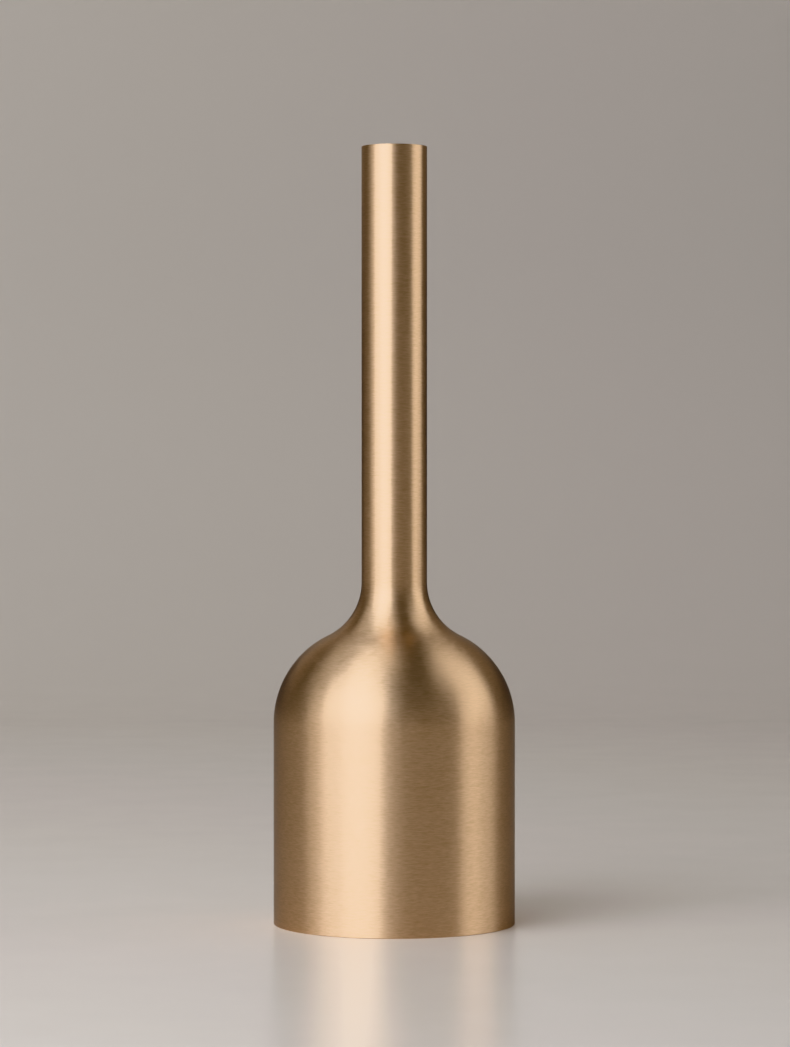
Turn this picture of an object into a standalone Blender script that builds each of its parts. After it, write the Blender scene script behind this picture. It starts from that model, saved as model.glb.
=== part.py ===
"""Bud vase in brushed brass, standing on its foot at the origin, +Z up, in metres.

A slim drawn tube is the neck. Its turned-down end seats in the collar of a spun shell, whose
concave root and dome run down into a straight skirt. A plate closes the skirt from below and
carries an iron ballast on three countersunk screws, with a felt pad glued over them. A glass
tube drops down the neck on to a silicone cushion in the ballast, and holds the water.
"""

import math

import bmesh
import bpy

# Outside shape
HEIGHT = 0.225
BODY_DIAMETER = 0.070
NECK_DIAMETER = 0.019
SKIRT_HEIGHT = 0.0583
DOME_RADIUS = 0.028
ROOT_RADIUS = 0.0172

# Spun shell
SHELL_WALL = 0.0015
COLLAR_HEIGHT = 0.004
COLLAR_WALL = 0.0006
REBATE_WALL = 0.0008

# Neck tube
TUBE_WALL = 0.0015
SPIGOT_LENGTH = 0.009

# Glass tube, and how far its lip lies below the rim
GLASS_WALL = 0.0012
GLASS_CLEARANCE = 0.0005
GLASS_DROP = 0.003

# Silicone cushion under the glass
CUSHION_FLOOR = 0.002
CUSHION_HEIGHT = 0.005

# Iron ballast
BALLAST_HEIGHT = 0.030
BALLAST_CLEARANCE = 0.0015
BALLAST_TOP_CHAMFER = 0.002
BALLAST_FOOT_CHAMFER = 0.001
SOCKET_DEPTH = 0.016
SOCKET_CLEARANCE = 0.0009
SOCKET_CHAMFER = 0.0025

# Base plate and felt pad
PLATE_THICKNESS = 0.003
PAD_THICKNESS = 0.0012

# M4 countersunk screws with a hexagon socket, set in from the edge of the ballast
SCREW_COUNT = 3
SCREW_INSET = 0.012
SCREW_DIAMETER = 0.004
SCREW_LENGTH = 0.010
SCREW_HEAD_DIAMETER = 0.0078
SCREW_SINK = 0.0002
SCREW_TIP_CHAMFER = 0.0004
SCREW_HOLE_SPARE = 0.0015
HEX_ACROSS_FLATS = 0.0025
HEX_DEPTH = 0.0015

# What keeps seated pieces apart, and the edges broken by the lathe tool
SEAT_GAP = 0.0003
EDGE_BREAK = 0.0002

# Facets round each piece, and along each 90 degrees of an arc
BODY_FACETS = 64
SMALL_FACETS = 40
SCREW_FACETS = 24
ARC_FACETS = 10
SHARP_ANGLE = math.radians(25)

# Radii of the brass pieces
body_radius = BODY_DIAMETER / 2
neck_radius = NECK_DIAMETER / 2
skirt_bore = body_radius - SHELL_WALL
rebate_radius = body_radius - REBATE_WALL
collar_bore = neck_radius - COLLAR_WALL
spigot_radius = collar_bore - SEAT_GAP
neck_bore = neck_radius - TUBE_WALL

# The dome's arc and the root's arc touch, which sets how far the root's centre lies above the dome's
dome_centre_r = body_radius - DOME_RADIUS
root_centre_r = neck_radius + ROOT_RADIUS
centres_across = root_centre_r - dome_centre_r
centres_up = math.sqrt((DOME_RADIUS + ROOT_RADIUS) ** 2 - centres_across**2)
touch_angle = math.atan2(centres_up, centres_across)
root_top = SKIRT_HEIGHT + centres_up
collar_top = root_top + COLLAR_HEIGHT
tube_shoulder = collar_top + SEAT_GAP

# Heights in the foot, from the table up
plate_bottom = PAD_THICKNESS + SEAT_GAP
plate_top = plate_bottom + PLATE_THICKNESS
rebate_top = plate_top + SEAT_GAP
plate_radius = rebate_radius - SEAT_GAP
ballast_bottom = plate_top + SEAT_GAP
ballast_top = ballast_bottom + BALLAST_HEIGHT
ballast_radius = skirt_bore - BALLAST_CLEARANCE
socket_floor = ballast_top - SOCKET_DEPTH

# The glass tube and its cushion
glass_radius = neck_bore - GLASS_CLEARANCE
glass_bore = glass_radius - GLASS_WALL
socket_radius = glass_radius + SOCKET_CLEARANCE
cushion_radius = socket_radius - SEAT_GAP
cushion_bottom = socket_floor + SEAT_GAP
glass_bottom = cushion_bottom + CUSHION_FLOOR + SEAT_GAP
glass_round_z = glass_bottom + glass_radius
glass_top = HEIGHT - GLASS_DROP

# Screws
screw_circle_radius = ballast_radius - SCREW_INSET
screw_radius = SCREW_DIAMETER / 2
screw_head_radius = SCREW_HEAD_DIAMETER / 2
screw_head_z = plate_bottom + SCREW_SINK
screw_hole_radius = screw_radius + SEAT_GAP

BRASS = ("brushed_brass", (0.66, 0.46, 0.24), 0.30, 1.0)
PLATE_BRASS = ("turned_brass", (0.60, 0.42, 0.21), 0.38, 1.0)
IRON = ("cast_iron", (0.075, 0.075, 0.08), 0.62, 0.8)
STEEL = ("zinc_plated_steel", (0.52, 0.53, 0.55), 0.34, 1.0)
FELT = ("wool_felt", (0.035, 0.033, 0.032), 0.95, 0.0)
GLASS = ("borosilicate_glass", (0.86, 0.93, 0.91), 0.04, 0.0)
SILICONE = ("silicone_rubber", (0.70, 0.70, 0.68), 0.55, 0.0)


def clear_scene():
    for thing in list(bpy.data.objects):
        bpy.data.objects.remove(thing)


def material(name, colour, roughness, metallic):
    """The Principled material of that name, made once."""
    found = bpy.data.materials.get(name)
    if found:
        return found
    made = bpy.data.materials.new(name)
    made.use_nodes = True
    shader = made.node_tree.nodes["Principled BSDF"]
    shader.inputs["Base Color"].default_value = (*colour, 1.0)
    shader.inputs["Roughness"].default_value = roughness
    shader.inputs["Metallic"].default_value = metallic
    made.diffuse_color = (*colour, 1.0)
    return made


def arc(centre, radius, start, end):
    """Points (r, z) round a centre, from the start angle to the end angle, both included."""
    steps = max(2, math.ceil(ARC_FACETS * abs(end - start) / (math.pi / 2)))
    angles = [start + (end - start) * step / steps for step in range(steps + 1)]
    return [(centre[0] + radius * math.cos(a), centre[1] + radius * math.sin(a)) for a in angles]


def broken_edge(corner, before, after, size=EDGE_BREAK):
    """The two points that replace a sharp corner between two straight sides."""
    points = []
    for other in (before, after):
        across, up = other[0] - corner[0], other[1] - corner[1]
        length = math.hypot(across, up)
        points.append((corner[0] + across / length * size, corner[1] + up / length * size))
    return points


def turned(name, section, finish, facets, closed=True):
    """A lathe-turned piece: the section's points (r, z) spun round the Z axis.

    A closed section is a ring's cut face. An open one starts and ends on the axis.
    """
    mesh = bpy.data.meshes.new(name)
    form = bmesh.new()
    points = [form.verts.new((r, 0.0, z)) for r, z in section]
    ends = zip(points, points[1:] + points[:1]) if closed else zip(points, points[1:])
    edges = [form.edges.new(pair) for pair in ends]
    bmesh.ops.spin(
        form,
        geom=points + edges,
        axis=(0.0, 0.0, 1.0),
        cent=(0.0, 0.0, 0.0),
        steps=facets,
        angle=math.tau,
        use_merge=True,
    )
    bmesh.ops.remove_doubles(form, verts=form.verts, dist=1e-6)
    bmesh.ops.recalc_face_normals(form, faces=form.faces)
    form.to_mesh(mesh)
    form.free()
    mesh.shade_smooth()
    mesh.set_sharp_from_angle(angle=SHARP_ANGLE)
    piece = bpy.data.objects.new(name, mesh)
    piece.data.materials.append(material(*finish))
    bpy.context.scene.collection.objects.link(piece)
    return piece


def hide_cutter(cutter):
    cutter.hide_render = True
    cutter.display_type = "WIRE"


def cut(piece, cutter):
    """Takes the cutter's shape out of the piece."""
    hide_cutter(cutter)
    bore = piece.modifiers.new(cutter.name, "BOOLEAN")
    bore.operation = "DIFFERENCE"
    bore.object = cutter


def body_shell():
    """Spun shell: collar, concave root, dome and skirt in one wall, with a rebate for the plate."""
    dome = (dome_centre_r, SKIRT_HEIGHT)
    root = (root_centre_r, root_top)
    root_inner = ROOT_RADIUS + SHELL_WALL
    bore_angle = math.acos((root_centre_r - collar_bore) / root_inner)
    outside = [
        *broken_edge((body_radius, 0.0), (rebate_radius, 0.0), (body_radius, SKIRT_HEIGHT)),
        *arc(dome, DOME_RADIUS, 0.0, touch_angle),
        *arc(root, ROOT_RADIUS, math.pi + touch_angle, math.pi)[1:],
        (neck_radius, collar_top),
    ]
    inside = [
        (collar_bore, collar_top),
        *arc(root, root_inner, math.pi + bore_angle, math.pi + touch_angle),
        *arc(dome, DOME_RADIUS - SHELL_WALL, touch_angle, 0.0)[1:],
        (skirt_bore, rebate_top),
        (rebate_radius, rebate_top),
        (rebate_radius, 0.0),
    ]
    return turned("body_shell", outside + inside, BRASS, BODY_FACETS)


def neck_tube():
    """Drawn tube, square-cut at the rim and turned down to a spigot at its lower end."""
    spigot_end = tube_shoulder - SPIGOT_LENGTH
    rim_out, rim_in = (neck_radius, HEIGHT), (neck_bore, HEIGHT)
    section = [
        (neck_radius, tube_shoulder),
        *broken_edge(rim_out, (neck_radius, tube_shoulder), rim_in),
        *broken_edge(rim_in, rim_out, (neck_bore, spigot_end)),
        (neck_bore, spigot_end),
        (spigot_radius, spigot_end),
        (spigot_radius, tube_shoulder),
    ]
    return turned("neck_tube", section, BRASS, BODY_FACETS)


def base_plate(screw_places):
    """Turned disc in the skirt's rebate, countersunk from below for the screws."""
    bottom, top = (plate_radius, plate_bottom), (plate_radius, plate_top)
    section = [
        (0.0, plate_bottom),
        *broken_edge(bottom, (0.0, plate_bottom), top),
        *broken_edge(top, bottom, (0.0, plate_top)),
        (0.0, plate_top),
    ]
    plate = turned("base_plate", section, PLATE_BRASS, BODY_FACETS, closed=False)
    for number, place in enumerate(screw_places, 1):
        cut(plate, countersink(f"countersink_cutter_{number}", place))
    return plate


def countersink(name, place):
    """Cutter for one screw: a cone that clears the head by the seat gap, on a hole for the shank.

    A gap square to the head's 45-degree cone is wider across it, by the root of two.
    """
    mouth = screw_head_radius + SEAT_GAP * math.sqrt(2)
    cone_top = screw_head_z + mouth - screw_hole_radius
    below = plate_bottom - SEAT_GAP
    section = [
        (0.0, below),
        (mouth, below),
        (mouth, screw_head_z),
        (screw_hole_radius, cone_top),
        (screw_hole_radius, plate_top + SEAT_GAP),
        (0.0, plate_top + SEAT_GAP),
    ]
    cutter = turned(name, section, PLATE_BRASS, SCREW_FACETS, closed=False)
    cutter.location = (*place, 0.0)
    return cutter


def ballast(screw_places):
    """Cast-iron slug, bored from above for the glass tube and tapped from below for the screws."""
    section = [
        (0.0, ballast_bottom),
        *broken_edge(
            (ballast_radius, ballast_bottom),
            (0.0, ballast_bottom),
            (ballast_radius, ballast_top),
            BALLAST_FOOT_CHAMFER,
        ),
        *broken_edge(
            (ballast_radius, ballast_top),
            (ballast_radius, ballast_bottom),
            (0.0, ballast_top),
            BALLAST_TOP_CHAMFER,
        ),
        (socket_radius + SOCKET_CHAMFER, ballast_top),
        (socket_radius, ballast_top - SOCKET_CHAMFER),
        (socket_radius, socket_floor),
        (0.0, socket_floor),
    ]
    slug = turned("ballast", section, IRON, BODY_FACETS, closed=False)
    hole_top = screw_head_z + SCREW_LENGTH + SCREW_HOLE_SPARE
    hole = [
        (0.0, ballast_bottom - SEAT_GAP),
        (screw_hole_radius, ballast_bottom - SEAT_GAP),
        (screw_hole_radius, hole_top),
        (0.0, hole_top + screw_hole_radius / math.sqrt(3)),
    ]
    for number, place in enumerate(screw_places, 1):
        cutter = turned(f"tapped_hole_cutter_{number}", hole, IRON, SCREW_FACETS, closed=False)
        cutter.location = (*place, 0.0)
        cut(slug, cutter)
    return slug


def ballast_screw(number, place):
    """Countersunk screw, head down, flush with the plate, its hexagon socket open to below."""
    tip_z = SCREW_LENGTH
    section = [
        (0.0, 0.0),
        (screw_head_radius, 0.0),
        (screw_radius, screw_head_radius - screw_radius),
        (screw_radius, tip_z - SCREW_TIP_CHAMFER),
        (screw_radius - SCREW_TIP_CHAMFER, tip_z),
        (0.0, tip_z),
    ]
    screw = turned(f"ballast_screw_{number}", section, STEEL, SCREW_FACETS, closed=False)
    hex_radius = HEX_ACROSS_FLATS / math.sqrt(3)
    socket = [(0.0, -SEAT_GAP), (hex_radius, -SEAT_GAP), (hex_radius, HEX_DEPTH), (0.0, HEX_DEPTH)]
    hexagon = turned(f"hexagon_cutter_{number}", socket, STEEL, 6, closed=False)
    hexagon.parent = screw
    cut(screw, hexagon)
    screw.location = (*place, screw_head_z)
    return screw


def foot_pad():
    """Felt disc glued under the plate, level with the skirt's edge."""
    section = [
        (0.0, 0.0),
        (plate_radius, 0.0),
        (plate_radius, PAD_THICKNESS),
        (0.0, PAD_THICKNESS),
    ]
    return turned("foot_pad", section, FELT, BODY_FACETS, closed=False)


def tube_cushion():
    """Silicone cup in the ballast's socket, dished to take the glass tube's round end."""
    cushion_top = cushion_bottom + CUSHION_HEIGHT
    dish_radius = glass_radius + SEAT_GAP
    lip_angle = math.asin((cushion_top - glass_round_z) / dish_radius)
    section = [
        (0.0, cushion_bottom),
        (cushion_radius, cushion_bottom),
        (cushion_radius, cushion_top),
        *arc((0.0, glass_round_z), dish_radius, lip_angle, -math.pi / 2)[:-1],
        (0.0, glass_round_z - dish_radius),
    ]
    return turned("tube_cushion", section, SILICONE, SMALL_FACETS, closed=False)


def water_tube():
    """Round-ended glass tube. Its parent empty stands on the axis that it lifts along."""
    middle = glass_round_z - glass_bottom
    lip = glass_top - glass_bottom
    section = [
        (0.0, 0.0),
        *arc((0.0, middle), glass_radius, -math.pi / 2, 0.0)[1:],
        *broken_edge((glass_radius, lip), (glass_radius, middle), (glass_bore, lip)),
        *broken_edge((glass_bore, lip), (glass_radius, lip), (glass_bore, middle)),
        *arc((0.0, middle), glass_bore, 0.0, -math.pi / 2)[:-1],
        (0.0, GLASS_WALL),
    ]
    tube = turned("water_tube", section, GLASS, SMALL_FACETS, closed=False)
    lift = bpy.data.objects.new("water_tube_lift", None)
    lift.location = (0.0, 0.0, glass_bottom)
    bpy.context.scene.collection.objects.link(lift)
    tube.parent = lift
    return tube


def main():
    clear_scene()
    turns = [math.tau * number / SCREW_COUNT for number in range(SCREW_COUNT)]
    screw_places = [
        (screw_circle_radius * math.cos(turn), screw_circle_radius * math.sin(turn)) for turn in turns
    ]
    body_shell()
    neck_tube()
    base_plate(screw_places)
    ballast(screw_places)
    for number, place in enumerate(screw_places, 1):
        ballast_screw(number, place)
    foot_pad()
    tube_cushion()
    water_tube()


if __name__ == "__main__":
    main()
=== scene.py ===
"""Bud vase in lathe-brushed brass: a slim tube on a domed, weighted body, and a glass tube inside.

Nearly every piece is turned, so each is a section revolved round the vase's axis by Geometry Nodes.
Sizes are metres. +Z is up from the table that the vase stands on, and -Y is towards the camera.
"""

import math

import bmesh
import bpy
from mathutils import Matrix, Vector


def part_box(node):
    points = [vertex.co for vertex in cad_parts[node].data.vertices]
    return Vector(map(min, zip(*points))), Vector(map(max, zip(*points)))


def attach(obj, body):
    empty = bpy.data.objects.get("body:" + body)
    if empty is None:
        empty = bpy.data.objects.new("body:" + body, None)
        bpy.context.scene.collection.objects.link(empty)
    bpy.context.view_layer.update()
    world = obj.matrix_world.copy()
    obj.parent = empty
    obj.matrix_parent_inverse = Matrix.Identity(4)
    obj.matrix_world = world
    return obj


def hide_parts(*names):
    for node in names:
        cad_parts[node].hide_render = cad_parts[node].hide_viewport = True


bl_info = {
    "name": "Bud Vase",
    "version": (1, 0, 0),
    "blender": (4, 5, 0),
    "location": "3D View > Sidebar > Bud Vase",
    "description": "Builds a brushed-brass bud vase piece by piece, and the studio that shows it",
    "category": "Object",
}

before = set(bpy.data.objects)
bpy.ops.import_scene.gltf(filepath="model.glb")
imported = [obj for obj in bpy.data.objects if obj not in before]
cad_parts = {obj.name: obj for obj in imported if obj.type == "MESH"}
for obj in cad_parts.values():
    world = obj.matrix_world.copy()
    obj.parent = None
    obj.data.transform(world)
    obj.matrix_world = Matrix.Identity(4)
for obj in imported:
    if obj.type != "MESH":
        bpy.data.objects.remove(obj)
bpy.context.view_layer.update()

MM = 0.001

# Points nearer than this are one point, and an edge sharper than this stays sharp
WELD = 0.001 * MM
SHARP = math.radians(30)

# The least steps in a rounded corner, and its steps in a radian at a radius of 1 mm
LEAST_STEPS, ROUND_STEPS = 4, 6

# Radius of the ring that carries a section round. Any will do
RING = 0.1

# Facets round each piece, and the points that the shell's section has along an arc
BODY_FACETS = 256
TUBE_FACETS = 160
SCREW_FACETS = 48
ARC_POINTS = 48

# A metric thread's depth, as a share of its pitch
THREAD_SHARE = 0.61

# Sockets of a Mix node, whose names are shared by its kinds of mix
FLOAT_A, FLOAT_B, FLOAT_OUT = 2, 3, 0
COLOUR_A, COLOUR_B, COLOUR_OUT = 6, 7, 2

BRASS_HEX = "#E5C5A3"
WORN_BRASS_HEX = "#D0AF8A"
# How much of the room brass mirrors at a grazing angle, which keeps its edges from going white
GRAZING_HEX = "#D8D8D8"
PLATE_HEX = "#E6C28F"
IRON_HEX = "#454341"
DUST_HEX = "#5B4E44"
MACHINED_IRON_HEX = "#8C8B8A"
ZINC_HEX = "#C6CBD0"
FELT_HEX = "#2C2A29"
FIBRE_HEX = "#5E5A57"
SILICONE_HEX = "#DDDED9"
GLASS_HEX = "#F6FCFA"
FLOOR_HEX = "#F6ECE1"
ROOM_HEX = "#9F9F9F"
KEY_HEX = "#EEF4FF"
FILL_HEX = "#FFFFFF"
CARD_HEX = "#4C525E"


def linear(code):
    """The linear colour of an sRGB hex code."""
    shares = [int(code[at : at + 2], 16) / 255 for at in (1, 3, 5)]
    return tuple(s / 12.92 if s <= 0.04045 else ((s + 0.055) / 1.055) ** 2.4 for s in shares)


def solid_colour(rgb):
    return (*rgb, 1.0)


def radius_of(node):
    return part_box(node)[1].x


def top_of(node):
    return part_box(node)[1].z


def foot_of(node):
    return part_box(node)[0].z


def length(label, text, default, most=0.5):
    """A size that a user would change."""
    return bpy.props.FloatProperty(
        name=label, description=text, default=default, min=0.0, max=most, precision=5, unit="LENGTH"
    )


def colour(label, text, code):
    """A colour that a user would change."""
    return bpy.props.FloatVectorProperty(
        name=label, description=text, default=linear(code), min=0.0, max=1.0, subtype="COLOR"
    )


class BrassSizes(bpy.types.PropertyGroup):
    """Sizes of the shell and the neck tube."""

    body_radius: length("Body radius", "Outside of the skirt", radius_of("body_shell"))
    neck_radius: length("Neck radius", "Outside of the neck tube", radius_of("neck_tube"))
    height: length("Height", "Rim above the table", top_of("neck_tube"))
    skirt_height: length("Skirt height", "Where the straight skirt ends and the dome begins", 58.3 * MM)
    dome_radius: length("Dome radius", "Arc between the skirt and the root", 28.0 * MM)
    root_radius: length("Root radius", "Concave arc between the dome and the neck", 17.2 * MM)
    collar_top: length("Collar top", "Joint between the shell and the neck tube", top_of("body_shell"))
    wall: length("Wall", "Thickness of the shell and of the neck tube", 1.5 * MM)
    collar_wall: length("Collar wall", "Shell left round the neck tube's spigot", 0.6 * MM)
    spigot_length: length("Spigot length", "How deep the neck tube seats in the collar", 9.0 * MM)
    rebate_wall: length("Rebate wall", "Skirt left round the base plate", 0.8 * MM)
    edge: length("Edge round", "Radius of the broken edges at the rim and the foot", 0.2 * MM)


class FootSizes(bpy.types.PropertyGroup):
    """Sizes of the plate, the ballast, its screws and the felt pad."""

    plate_radius: length("Plate radius", "Disc that closes the skirt", radius_of("base_plate"))
    plate_bottom: length("Plate bottom", "Underside of the plate, on the felt", foot_of("base_plate"))
    plate_top: length("Plate top", "Upper side of the plate", top_of("base_plate"))
    pad_radius: length("Pad radius", "Felt disc, a little smaller than the plate", 33.7 * MM)
    ballast_radius: length("Ballast radius", "Outside of the iron", radius_of("ballast"))
    ballast_top: length("Ballast top", "Upper side of the iron", top_of("ballast"))
    socket_radius: length("Socket radius", "Bore in the iron for the glass and its cushion", 8.4 * MM)
    socket_depth: length("Socket depth", "From the top of the iron", 16.0 * MM)
    screw_inset: length("Screw inset", "From the edge of the iron to a screw's axis", 12.0 * MM)
    screw_radius: length("Screw radius", "M4 thread, across its crests", 2.0 * MM)
    screw_length: length("Screw length", "Whole countersunk screw", 10.0 * MM)
    head_radius: length("Head radius", "Countersunk head", 3.9 * MM)
    hexagon: length("Hexagon", "Socket across its flats", 2.5 * MM)
    pitch: length("Pitch", "Rise of one turn of an M4 thread", 0.7 * MM)
    screws: bpy.props.IntProperty(
        name="Screws", description="How many hold the iron", default=3, min=2, max=12
    )


class TubeSizes(bpy.types.PropertyGroup):
    """Sizes of the glass water tube and its cushion."""

    glass_radius: length("Glass radius", "Outside of the drawn tube", radius_of("water_tube"))
    glass_wall: length("Glass wall", "Thickness of the tube", 1.2 * MM)
    glass_bottom: length("Glass bottom", "Lowest point of the round end", foot_of("water_tube"))
    glass_top: length("Glass top", "Lip, a little below the rim", top_of("water_tube"))
    cushion_radius: length("Cushion radius", "Outside of the silicone cup", radius_of("tube_cushion"))
    cushion_top: length("Cushion top", "Edge of the silicone cup", top_of("tube_cushion"))


class Finishes(bpy.types.PropertyGroup):
    """Colours of the vase's materials."""

    brass: colour("Brass", "Brushed brass of the shell and the neck", BRASS_HEX)
    worn_brass: colour("Worn brass", "Deeper tone between the hairlines", WORN_BRASS_HEX)
    plate: colour("Plate brass", "Face-turned brass of the base plate", PLATE_HEX)
    iron: colour("Iron", "Sand-cast skin of the ballast", IRON_HEX)
    zinc: colour("Zinc", "Zinc plate on the screws", ZINC_HEX)
    felt: colour("Felt", "Wool felt under the foot", FELT_HEX)
    silicone: colour("Silicone", "Cushion under the glass", SILICONE_HEX)
    glass: colour("Glass", "Water tube", GLASS_HEX)


class StudioSettings(bpy.types.PropertyGroup):
    """Camera, floor and light."""

    camera_distance: length("Camera distance", "From the lens to the vase's axis", 1.017, 5.0)
    eye_height: length("Eye height", "Lens above the table", 132.9 * MM, 5.0)
    floor: colour("Floor", "Pale, half-gloss table top that sweeps up into the wall", FLOOR_HEX)
    room: colour("Room", "What lies beyond the floor", ROOM_HEX)
    key_tint: colour("Key tint", "Cool daylight of the main softboxes", KEY_HEX)
    fill_tint: colour("Fill tint", "Neutral light of all the others", FILL_HEX)


def add(tree, kind, inputs=None, **settings):
    """Adds a node, sets its properties, and gives its inputs their values or links."""
    node = tree.nodes.new(kind)
    for name, value in settings.items():
        setattr(node, name, value)
    for socket, value in (inputs or {}).items():
        if isinstance(value, bpy.types.NodeSocket):
            tree.links.new(value, node.inputs[socket])
        else:
            node.inputs[socket].default_value = value
    return node


def new_tree(name, sizes):
    """A Geometry Nodes tree and its inputs: a geometry, then one for each label and kind in sizes."""
    tree = bpy.data.node_groups.new(name, "GeometryNodeTree")
    sockets = tree.interface
    sockets.new_socket("Geometry", in_out="OUTPUT", socket_type="NodeSocketGeometry")
    sockets.new_socket("Geometry", in_out="INPUT", socket_type="NodeSocketGeometry")
    for label, kind in sizes:
        sockets.new_socket(label, in_out="INPUT", socket_type=f"NodeSocket{kind}")
    return tree, add(tree, "NodeGroupInput").outputs


def end_tree(tree, made, finish):
    """Ends a tree in real geometry with its material on."""
    real = add(tree, "GeometryNodeRealizeInstances", {"Geometry": made})
    dressed = add(tree, "GeometryNodeSetMaterial", {"Geometry": real.outputs[0], "Material": finish})
    add(tree, "NodeGroupOutput", {0: dressed.outputs[0]})
    return tree


def run_tree(source, tree, **values):
    """Puts a tree on an object as a modifier, with its inputs set by their sockets' identifiers."""
    modifier = source.modifiers.new(tree.name, "NODES")
    modifier.node_group = tree
    for item in tree.interface.items_tree:
        key = item.name.lower().replace(" ", "_")
        if item.item_type == "SOCKET" and item.in_out == "INPUT" and key in values:
            modifier[item.identifier] = values[key]
    return source


def worked_out(tree, known, formulas):
    """Adds to the known values each (name, operation, terms), whose terms are names or numbers."""
    for name, operation, *terms in formulas:
        inputs = {at: known.get(term, term) for at, term in enumerate(terms)}
        known[name] = add(tree, "ShaderNodeMath", inputs, operation=operation).outputs[0]
    return known


def revolved(tree, section, facets):
    """Turns a section curve in the XZ plane round the Z axis.

    The way along the section is stored first, so that a brushed pattern can follow the surface.
    """
    way = add(tree, "GeometryNodeSplineParameter").outputs["Length"]
    marked = add(
        tree,
        "GeometryNodeStoreNamedAttribute",
        {"Geometry": section, "Name": "travel", "Value": way},
        data_type="FLOAT",
        domain="POINT",
    )
    profile = add(
        tree,
        "GeometryNodeTransform",
        {"Geometry": marked.outputs[0], "Translation": (-RING, 0, 0), "Rotation": (math.pi / 2, 0, 0)},
    )
    ring = add(tree, "GeometryNodeCurvePrimitiveCircle", {"Resolution": facets, "Radius": RING})
    swept = add(
        tree, "GeometryNodeCurveToMesh", {"Curve": ring.outputs[0], "Profile Curve": profile.outputs[0]}
    )
    return swept.outputs[0]


def lathe_tree():
    """Revolves whatever section its object holds."""
    found = bpy.data.node_groups.get("lathe")
    if found:
        return found
    tree, given = new_tree("lathe", [("Facets", "Int"), ("Finish", "Material")])
    section = add(tree, "GeometryNodeMeshToCurve", {0: given["Geometry"]})
    return end_tree(tree, revolved(tree, section.outputs[0], given["Facets"]), given["Finish"])


def spun_shell_tree():
    """Draws the shell's section from its sizes and revolves it.

    The dome's arc touches the skirt, and the root's arc touches the neck and the dome's. So the two
    centres lie the sum of the radii apart, and the height of the root follows from that.
    """
    lengths = ("Body Radius", "Neck Radius", "Skirt Height", "Dome Radius", "Root Radius")
    lengths += ("Collar Top", "Wall", "Collar Wall", "Rebate Wall", "Rebate Top", "Edge")
    inputs = [(label, "Float") for label in lengths]
    inputs += [("Arc Points", "Int"), ("Facets", "Int"), ("Finish", "Material")]
    tree, given = new_tree("spun_shell", inputs)
    formulas = (
        ("dome centre", "SUBTRACT", "Body Radius", "Dome Radius"),
        ("root centre", "ADD", "Neck Radius", "Root Radius"),
        ("centres across", "SUBTRACT", "root centre", "dome centre"),
        ("centres apart", "ADD", "Dome Radius", "Root Radius"),
        ("touch share", "DIVIDE", "centres across", "centres apart"),
        ("touch angle", "ARCCOSINE", "touch share"),
        ("touch sine", "SINE", "touch angle"),
        ("centres up", "MULTIPLY", "centres apart", "touch sine"),
        ("root height", "ADD", "Skirt Height", "centres up"),
        ("root start", "ADD", "touch angle", math.pi),
        ("sweep back", "MULTIPLY", "touch angle", -1.0),
        ("inner root", "ADD", "Root Radius", "Wall"),
        ("inner dome", "SUBTRACT", "Dome Radius", "Wall"),
        ("collar bore", "SUBTRACT", "Neck Radius", "Collar Wall"),
        ("bore across", "SUBTRACT", "root centre", "collar bore"),
        ("bore share", "DIVIDE", "bore across", "inner root"),
        ("bore angle", "ARCCOSINE", "bore share"),
        ("bore start", "ADD", "bore angle", math.pi),
        ("bore sweep", "SUBTRACT", "touch angle", "bore angle"),
        ("foot centre", "SUBTRACT", "Body Radius", "Edge"),
        ("skirt bore", "SUBTRACT", "Body Radius", "Wall"),
        ("rebate", "SUBTRACT", "Body Radius", "Rebate Wall"),
    )
    known = worked_out(tree, {label: given[label] for label in lengths}, formulas)
    # The section, as arcs and corners: centre's radius and height, arc's radius, start and sweep
    quarter = math.pi / 2
    path = (
        ("foot centre", "Edge", "Edge", -quarter, quarter),
        ("dome centre", "Skirt Height", "Dome Radius", 0.0, "touch angle"),
        ("root centre", "root height", "Root Radius", "root start", "sweep back"),
        ("Neck Radius", "Collar Top", 0.0, 0.0, 0.0),
        ("collar bore", "Collar Top", 0.0, 0.0, 0.0),
        ("root centre", "root height", "inner root", "bore start", "bore sweep"),
        ("dome centre", "Skirt Height", "inner dome", "touch angle", "sweep back"),
        ("skirt bore", "Rebate Top", 0.0, 0.0, 0.0),
        ("rebate", "Rebate Top", 0.0, 0.0, 0.0),
        ("rebate", 0.0, 0.0, 0.0, 0.0),
    )
    joined = add(tree, "GeometryNodeJoinGeometry")
    for across, up, radius, start, sweep in reversed(path):
        arc = add(
            tree,
            "GeometryNodeCurveArc",
            {
                "Resolution": given["Arc Points"] if radius else 2,
                "Radius": known.get(radius, radius),
                "Start Angle": known.get(start, start),
                "Sweep Angle": known.get(sweep, sweep),
            },
        )
        place = add(
            tree, "ShaderNodeCombineXYZ", {"X": known.get(across, across), "Z": known.get(up, up)}
        )
        upright = add(
            tree,
            "GeometryNodeTransform",
            {"Geometry": arc.outputs[0], "Translation": place.outputs[0], "Rotation": (quarter, 0, 0)},
        )
        tree.links.new(upright.outputs[0], joined.inputs[0])
    dots = add(tree, "GeometryNodeCurveToPoints", {"Curve": joined.outputs[0]}, mode="EVALUATED")
    strung = add(tree, "GeometryNodePointsToCurves", {"Points": dots.outputs["Points"]})
    section = add(tree, "GeometryNodeSetSplineCyclic", {"Geometry": strung.outputs[0], "Cyclic": True})
    return end_tree(tree, revolved(tree, section.outputs[0], given["Facets"]), given["Finish"])


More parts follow.
